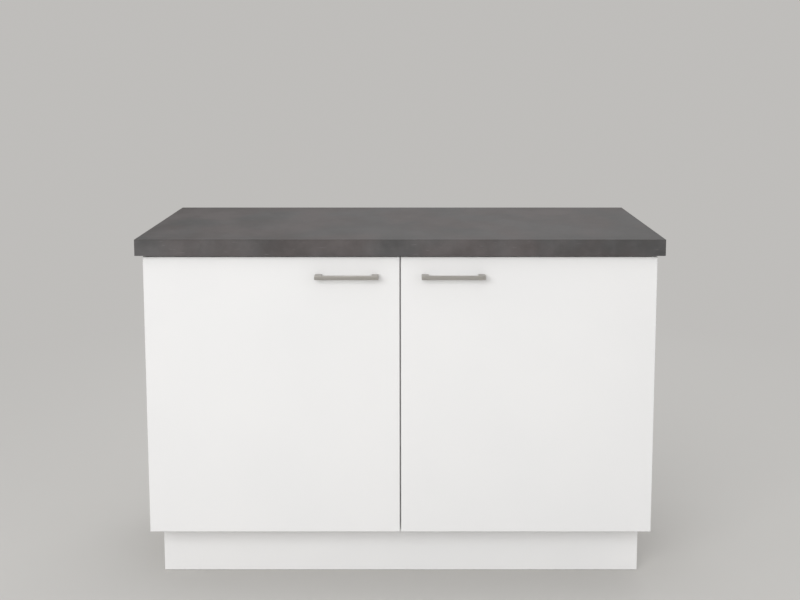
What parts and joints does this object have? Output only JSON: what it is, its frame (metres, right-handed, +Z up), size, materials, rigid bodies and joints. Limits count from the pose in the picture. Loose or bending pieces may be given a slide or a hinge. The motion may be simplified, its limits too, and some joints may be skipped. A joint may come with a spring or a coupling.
{
  "type": "kitchen island unit",
  "caption": "Kitchen island base unit: dark stone-look worktop on a white board carcass with slab doors, bar handles, shelves behind them and a recessed plinth on levelling legs.",
  "frame": {"origin": "on the floor under the middle of the whole unit", "axes": "+X to the right seen from the doors, +Y from the doors to the back, +Z up"},
  "size_m": [1.227, 0.613, 0.84],
  "materials": {
    "stone_laminate": "matt stone-look laminate with faint mottling",
    "chipboard": "raw chipboard",
    "backing_sheet": "grey balancing sheet, matt",
    "white_band": "white edge band, satin",
    "white_board": "white melamine-faced board, satin",
    "door_white": "white faced board, satin",
    "plinth_white": "white faced board, satin",
    "satin_nickel": "satin nickel, brushed along the bar",
    "hinge_steel": "nickel-plated pressed steel",
    "screw_steel": "zinc-plated steel",
    "zinc": "die-cast zinc",
    "beech": "ribbed beech dowel",
    "leg_plastic": "black moulded plastic",
    "bumper": "soft clear bumper"
  },
  "bodies": {
    "carcass": {"worktop_core": "chipboard", "worktop_backing": "backing_sheet", "worktop_laminate": "stone_laminate", "worktop_edges": "stone_laminate", "front_edge_bands": "white_band", "shelf_edge_bands": "white_band", "side_panel_left": "white_board", "side_panel_right": "white_board", "base_panel": "white_board", "front_top_rail": "white_board", "rear_top_rail": "white_board", "back_panel": "white_board", "centre_partition": "white_board", "shelf_left": "white_board", "shelf_right": "white_board", "shelf_pins": "hinge_steel", "cam_locks": "zinc", "cam_bolts": "zinc", "dowels": "beech", "worktop_screws": "screw_steel", "plinth_front": "plinth_white", "plinth_back": "plinth_white", "plinth_left": "plinth_white", "plinth_right": "plinth_white", "leg_sockets": "leg_plastic", "plinth_clips": "leg_plastic", "hinge_plates": "hinge_steel", "hinge_plate_screws": "screw_steel", "hinge_arms": "hinge_steel", "hinge_arm_pins": "screw_steel", "hinge_adjusters": "screw_steel", "hinge_caps": "hinge_steel"},
    "link_left": {"hinge_links_left": "hinge_steel"},
    "door_left": {"door_left": "door_white", "door_bands_left": "white_band", "handle_bar_left": "satin_nickel", "handle_posts_left": "satin_nickel", "hinge_cups_left": "hinge_steel", "hinge_cup_pins_left": "screw_steel", "hinge_cup_screws_left": "screw_steel", "handle_screws_left": "screw_steel", "door_bumpers_left": "bumper"},
    "link_right": {"hinge_links_right": "hinge_steel"},
    "door_right": {"door_right": "door_white", "door_bands_right": "white_band", "handle_bar_right": "satin_nickel", "handle_posts_right": "satin_nickel", "hinge_cups_right": "hinge_steel", "hinge_cup_pins_right": "screw_steel", "hinge_cup_screws_right": "screw_steel", "handle_screws_right": "screw_steel", "door_bumpers_right": "bumper"},
    "foot_front_left": {"foot_front_left": "leg_plastic"},
    "foot_front_centre": {"foot_front_centre": "leg_plastic"},
    "foot_front_right": {"foot_front_right": "leg_plastic"},
    "foot_back_left": {"foot_back_left": "leg_plastic"},
    "foot_back_centre": {"foot_back_centre": "leg_plastic"},
    "foot_back_right": {"foot_back_right": "leg_plastic"}
  },
  "joints": [
    {"name": "left_hinge_link", "type": "hinge", "parent": "carcass", "child": "link_left", "pos_m": [-0.56496, -0.24551, 0.464], "axis": [0, 0, 1], "range_deg": [0, 42]},
    {"name": "left_door_hinge", "type": "hinge", "parent": "link_left", "child": "door_left", "pos_m": [-0.58798, -0.26226, 0.464], "axis": [0, 0, -1], "range_deg": [0, 136.8]},
    {"name": "right_hinge_link", "type": "hinge", "parent": "carcass", "child": "link_right", "pos_m": [0.56496, -0.24551, 0.464], "axis": [0, 0, -1], "range_deg": [0, 42]},
    {"name": "right_door_hinge", "type": "hinge", "parent": "link_right", "child": "door_right", "pos_m": [0.58798, -0.26226, 0.464], "axis": [0, 0, 1], "range_deg": [0, 136.8]},
    {"name": "foot_front_left_level", "type": "slide", "parent": "carcass", "child": "foot_front_left", "axis": [0, 0, -1], "range_m": [-0.005, 0.02]},
    {"name": "foot_front_centre_level", "type": "slide", "parent": "carcass", "child": "foot_front_centre", "axis": [0, 0, -1], "range_m": [-0.005, 0.02]},
    {"name": "foot_front_right_level", "type": "slide", "parent": "carcass", "child": "foot_front_right", "axis": [0, 0, -1], "range_m": [-0.005, 0.02]},
    {"name": "foot_back_left_level", "type": "slide", "parent": "carcass", "child": "foot_back_left", "axis": [0, 0, -1], "range_m": [-0.005, 0.02]},
    {"name": "foot_back_centre_level", "type": "slide", "parent": "carcass", "child": "foot_back_centre", "axis": [0, 0, -1], "range_m": [-0.005, 0.02]},
    {"name": "foot_back_right_level", "type": "slide", "parent": "carcass", "child": "foot_back_right", "axis": [0, 0, -1], "range_m": [-0.005, 0.02]}
  ],
  "couplings": [
    {"joint": "left_hinge_link", "follows": "left_door_hinge", "ratio": 0.30556},
    {"joint": "right_hinge_link", "follows": "right_door_hinge", "ratio": 0.30556}
  ]
}
